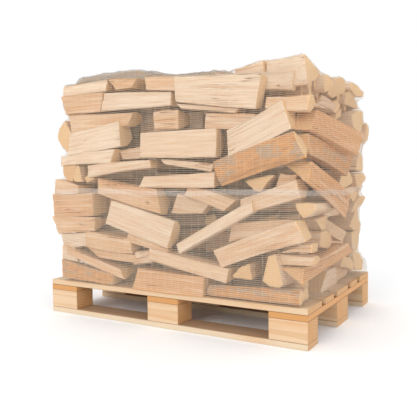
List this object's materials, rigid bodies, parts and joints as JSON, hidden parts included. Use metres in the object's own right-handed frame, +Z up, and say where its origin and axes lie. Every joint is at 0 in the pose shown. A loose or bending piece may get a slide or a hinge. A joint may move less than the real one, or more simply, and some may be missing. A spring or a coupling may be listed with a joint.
{
  "type": "pallet of firewood",
  "caption": "Split firewood logs stacked in rough courses on a flat timber pallet, wrapped in a fine net.",
  "frame": {"origin": "on the ground, under the middle of the pallet", "axes": "+X along the pallet's long side to the right end, +Y to the back of the load, +Z up; the front of the load faces -Y"},
  "size_m": [1.3003, 0.8602, 1.056],
  "materials": {
    "pine_board": "sawn",
    "pine_stringer": "sawn",
    "pine_block": "sawn",
    "split_wood": "rough, split",
    "split_wood_bark": "rough, with bark",
    "net": "fine knitted net"
  },
  "bodies": {
    "root": {"deck_board_1": "pine_board", "deck_board_2": "pine_board", "deck_board_3": "pine_board", "deck_board_4": "pine_board", "deck_board_5": "pine_board", "stringer_1": "pine_stringer", "stringer_2": "pine_stringer", "stringer_3": "pine_stringer", "block_1_1": "pine_block", "block_1_2": "pine_block", "block_1_3": "pine_block", "block_2_1": "pine_block", "block_2_2": "pine_block", "block_2_3": "pine_block", "block_3_1": "pine_block", "block_3_2": "pine_block", "block_3_3": "pine_block", "bottom_board_1": "pine_board", "bottom_board_2": "pine_board", "bottom_board_3": "pine_board", "log_front_01": "split_wood", "log_front_02": "split_wood", "log_front_03": "split_wood_bark", "log_front_04": "split_wood", "log_front_05": "split_wood", "log_front_06": "split_wood", "log_front_07": "split_wood", "log_front_08": "split_wood", "log_front_09": "split_wood", "log_front_10": "split_wood", "log_front_11": "split_wood", "log_front_12": "split_wood", "log_front_13": "split_wood", "log_front_14": "split_wood", "log_front_15": "split_wood_bark", "log_front_16": "split_wood", "log_front_17": "split_wood", "log_front_18": "split_wood", "log_front_19": "split_wood", "log_front_20": "split_wood", "log_front_21": "split_wood", "log_front_22": "split_wood", "log_front_23": "split_wood", "log_front_24": "split_wood", "log_front_25": "split_wood", "log_front_26": "split_wood", "log_front_27": "split_wood", "log_front_28": "split_wood", "log_front_29": "split_wood", "log_front_30": "split_wood_bark", "log_front_31": "split_wood", "log_front_32": "split_wood_bark", "log_front_33": "split_wood", "log_right_01": "split_wood", "log_right_02": "split_wood", "log_right_03": "split_wood", "log_right_04": "split_wood", "log_right_05": "split_wood", "stacked_logs": "split_wood", "net_wrap": "net"}
  },
  "joints": []
}
